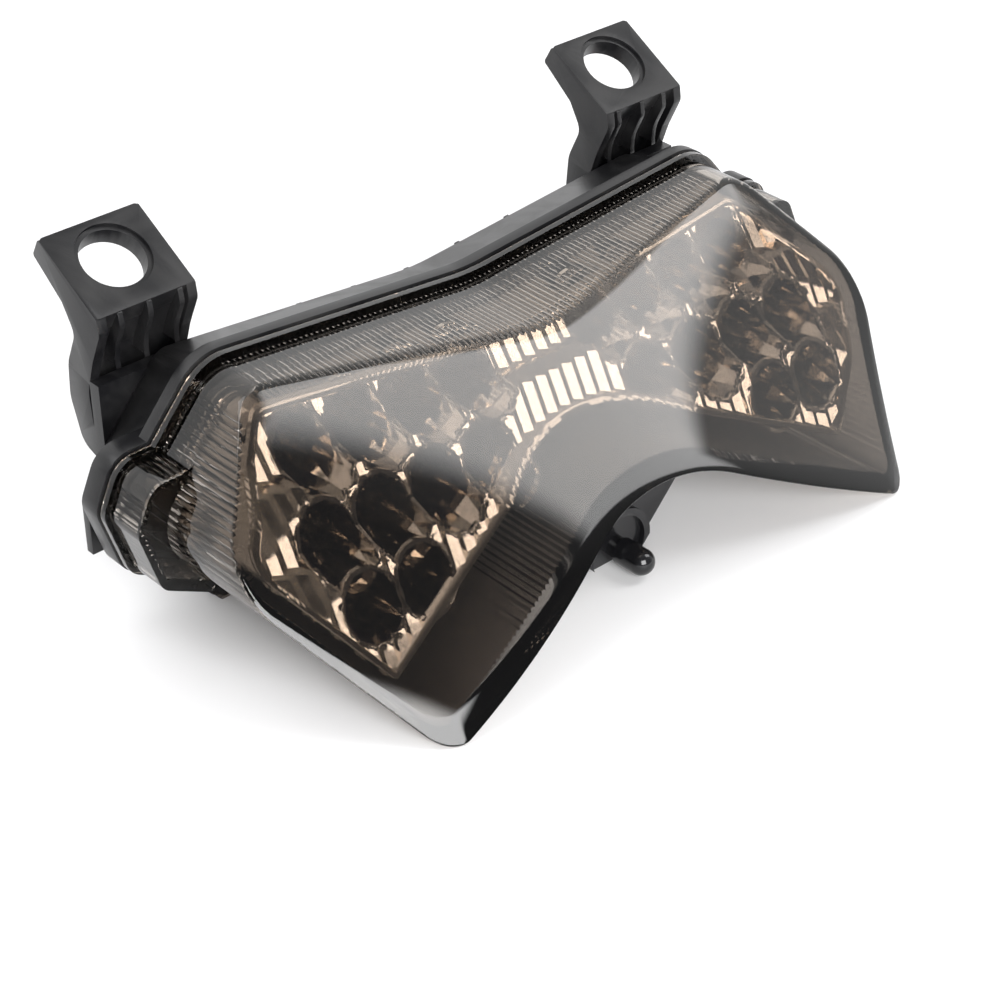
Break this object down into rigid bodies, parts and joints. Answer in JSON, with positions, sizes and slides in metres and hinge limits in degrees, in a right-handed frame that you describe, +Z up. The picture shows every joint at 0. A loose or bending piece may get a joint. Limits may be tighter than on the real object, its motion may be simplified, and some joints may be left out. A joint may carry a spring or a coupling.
{
  "type": "motorcycle tail light",
  "caption": "Butterfly-shaped LED tail light: raked smoked lens over a terraced reflector, black housing with two lugs.",
  "frame": {"origin": "centre of the light's footprint on the surface that it stands on", "axes": "+Z up, -Y the way the light shines, +X to the right as seen from its front"},
  "size_m": [0.2083, 0.1396, 0.0797],
  "materials": {
    "smoked_lens": "smoked transparent, moulded with fine flutes along its walls",
    "housing_plastic": "satin black moulded plastic",
    "sealant": "black glue bead",
    "metallised_reflector": "vacuum-metallised, warm chrome",
    "led_epoxy": "water-clear epoxy",
    "board_laminate": "green solder mask on glass laminate",
    "resistor_body": "tan lacquer",
    "screw_steel": "zinc plated",
    "lead_insulation": "dark red flexible insulation",
    "terminal": "bullet terminal with an insulated barrel",
    "rubber": "matt black rubber"
  },
  "bodies": {
    "root": {"lens_cover": "smoked_lens", "sealant_bead": "sealant", "rear_housing": "housing_plastic", "reflector": "metallised_reflector", "left_mounting_lug": "housing_plastic", "right_mounting_lug": "housing_plastic", "lower_bracket": "housing_plastic", "locating_peg": "housing_plastic", "cable_grommet": "rubber", "board_screws": "screw_steel", "left_led_board": "board_laminate", "right_led_board": "board_laminate", "left_board_resistors": "resistor_body", "right_board_resistors": "resistor_body", "left_led_row1_1": "led_epoxy", "left_led_row1_2": "led_epoxy", "left_led_row1_3": "led_epoxy", "left_led_row1_4": "led_epoxy", "left_led_row2_1": "led_epoxy", "left_led_row2_2": "led_epoxy", "left_led_row2_3": "led_epoxy", "left_led_row2_4": "led_epoxy", "left_led_row3_1": "led_epoxy", "left_led_row3_2": "led_epoxy", "right_led_row1_1": "led_epoxy", "right_led_row1_2": "led_epoxy", "right_led_row1_3": "led_epoxy", "right_led_row1_4": "led_epoxy", "right_led_row2_1": "led_epoxy", "right_led_row2_2": "led_epoxy", "right_led_row2_3": "led_epoxy", "right_led_row2_4": "led_epoxy", "right_led_row3_1": "led_epoxy", "right_led_row3_2": "led_epoxy", "lead_sleeve": "rubber", "supply_lead": "lead_insulation", "earth_lead": "lead_insulation", "supply_lead_coil": "lead_insulation", "earth_lead_coil": "lead_insulation", "supply_lead_terminal": "terminal", "earth_lead_terminal": "terminal"}
  },
  "joints": []
}
